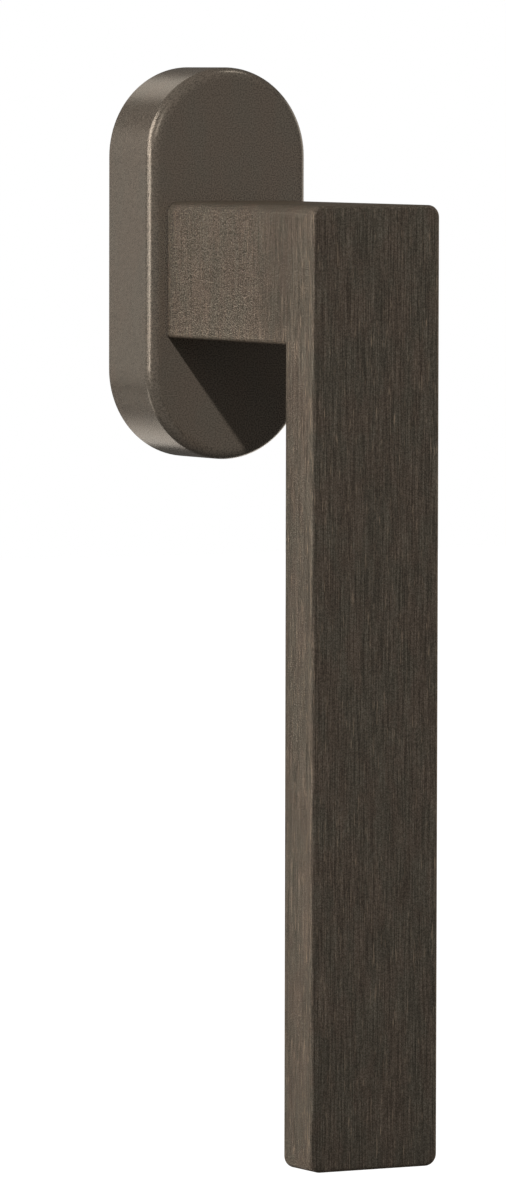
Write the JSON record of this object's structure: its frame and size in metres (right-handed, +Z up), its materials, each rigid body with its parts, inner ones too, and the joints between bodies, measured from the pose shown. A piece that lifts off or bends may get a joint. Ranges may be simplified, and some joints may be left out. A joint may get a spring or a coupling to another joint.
{
  "type": "tilt turn handle",
  "caption": "Slim L-shaped tilt and turn window handle: flat rectangular lever on an oval rose, with a square spindle, screw lugs and a sprung detent inside.",
  "frame": {"origin": "on the spindle axis, in the plane of the sash face that the rose lies on", "axes": "+Y into the sash along the spindle, +Z up along the rose, lever hanging down along -Z in the closed position"},
  "size_m": [0.0284, 0.0813, 0.1699],
  "materials": {
    "lever_bronze": "dark bronze, brushed along the grip",
    "rose_bronze": "dark bronze, fine blasted satin",
    "zinc_alloy": "die-cast zinc alloy, matt",
    "plated_steel": "bright zinc plated",
    "spring_steel": "bright drawn spring steel",
    "black_steel": "black oxide",
    "black_nylon": "glass filled nylon, matt moulded",
    "natural_acetal": "acetal, smooth moulded"
  },
  "bodies": {
    "base": {"rose_cover": "rose_bronze", "cover_guide_ring": "black_nylon", "base_body": "black_nylon", "back_plate": "plated_steel", "back_plate_screws": "plated_steel", "bearing_bush": "natural_acetal", "support_lug_upper": "zinc_alloy", "support_lug_lower": "zinc_alloy", "fixing_screws": "plated_steel", "cover_clips": "spring_steel", "detent_spring_upper": "spring_steel", "detent_spring_lower": "spring_steel"},
    "lever": {"lever_handle": "lever_bronze", "journal_sleeve": "zinc_alloy", "square_spindle": "plated_steel", "spindle_pin": "plated_steel", "neck_grub_screw": "black_steel", "detent_cam": "zinc_alloy", "retaining_ring": "spring_steel", "spring_washer": "spring_steel"},
    "plunger_upper": {"detent_plunger_upper": "plated_steel"},
    "plunger_lower": {"detent_plunger_lower": "plated_steel"}
  },
  "joints": [
    {"name": "lever_turn", "type": "hinge", "parent": "base", "child": "lever", "pos_m": [0, 0, 0], "axis": [0, -1, 0], "range_deg": [0, 180]},
    {"name": "plunger_upper_slide", "type": "slide", "parent": "base", "child": "plunger_upper", "axis": [0, 0, -1], "range_m": [0, 0.0009], "stiffness_N_per_m": 2000, "springref_m": 0.003, "deforming": ["detent_spring_upper"]},
    {"name": "plunger_lower_slide", "type": "slide", "parent": "base", "child": "plunger_lower", "axis": [0, 0, 1], "range_m": [0, 0.0009], "stiffness_N_per_m": 2000, "springref_m": 0.003, "deforming": ["detent_spring_lower"]}
  ]
}
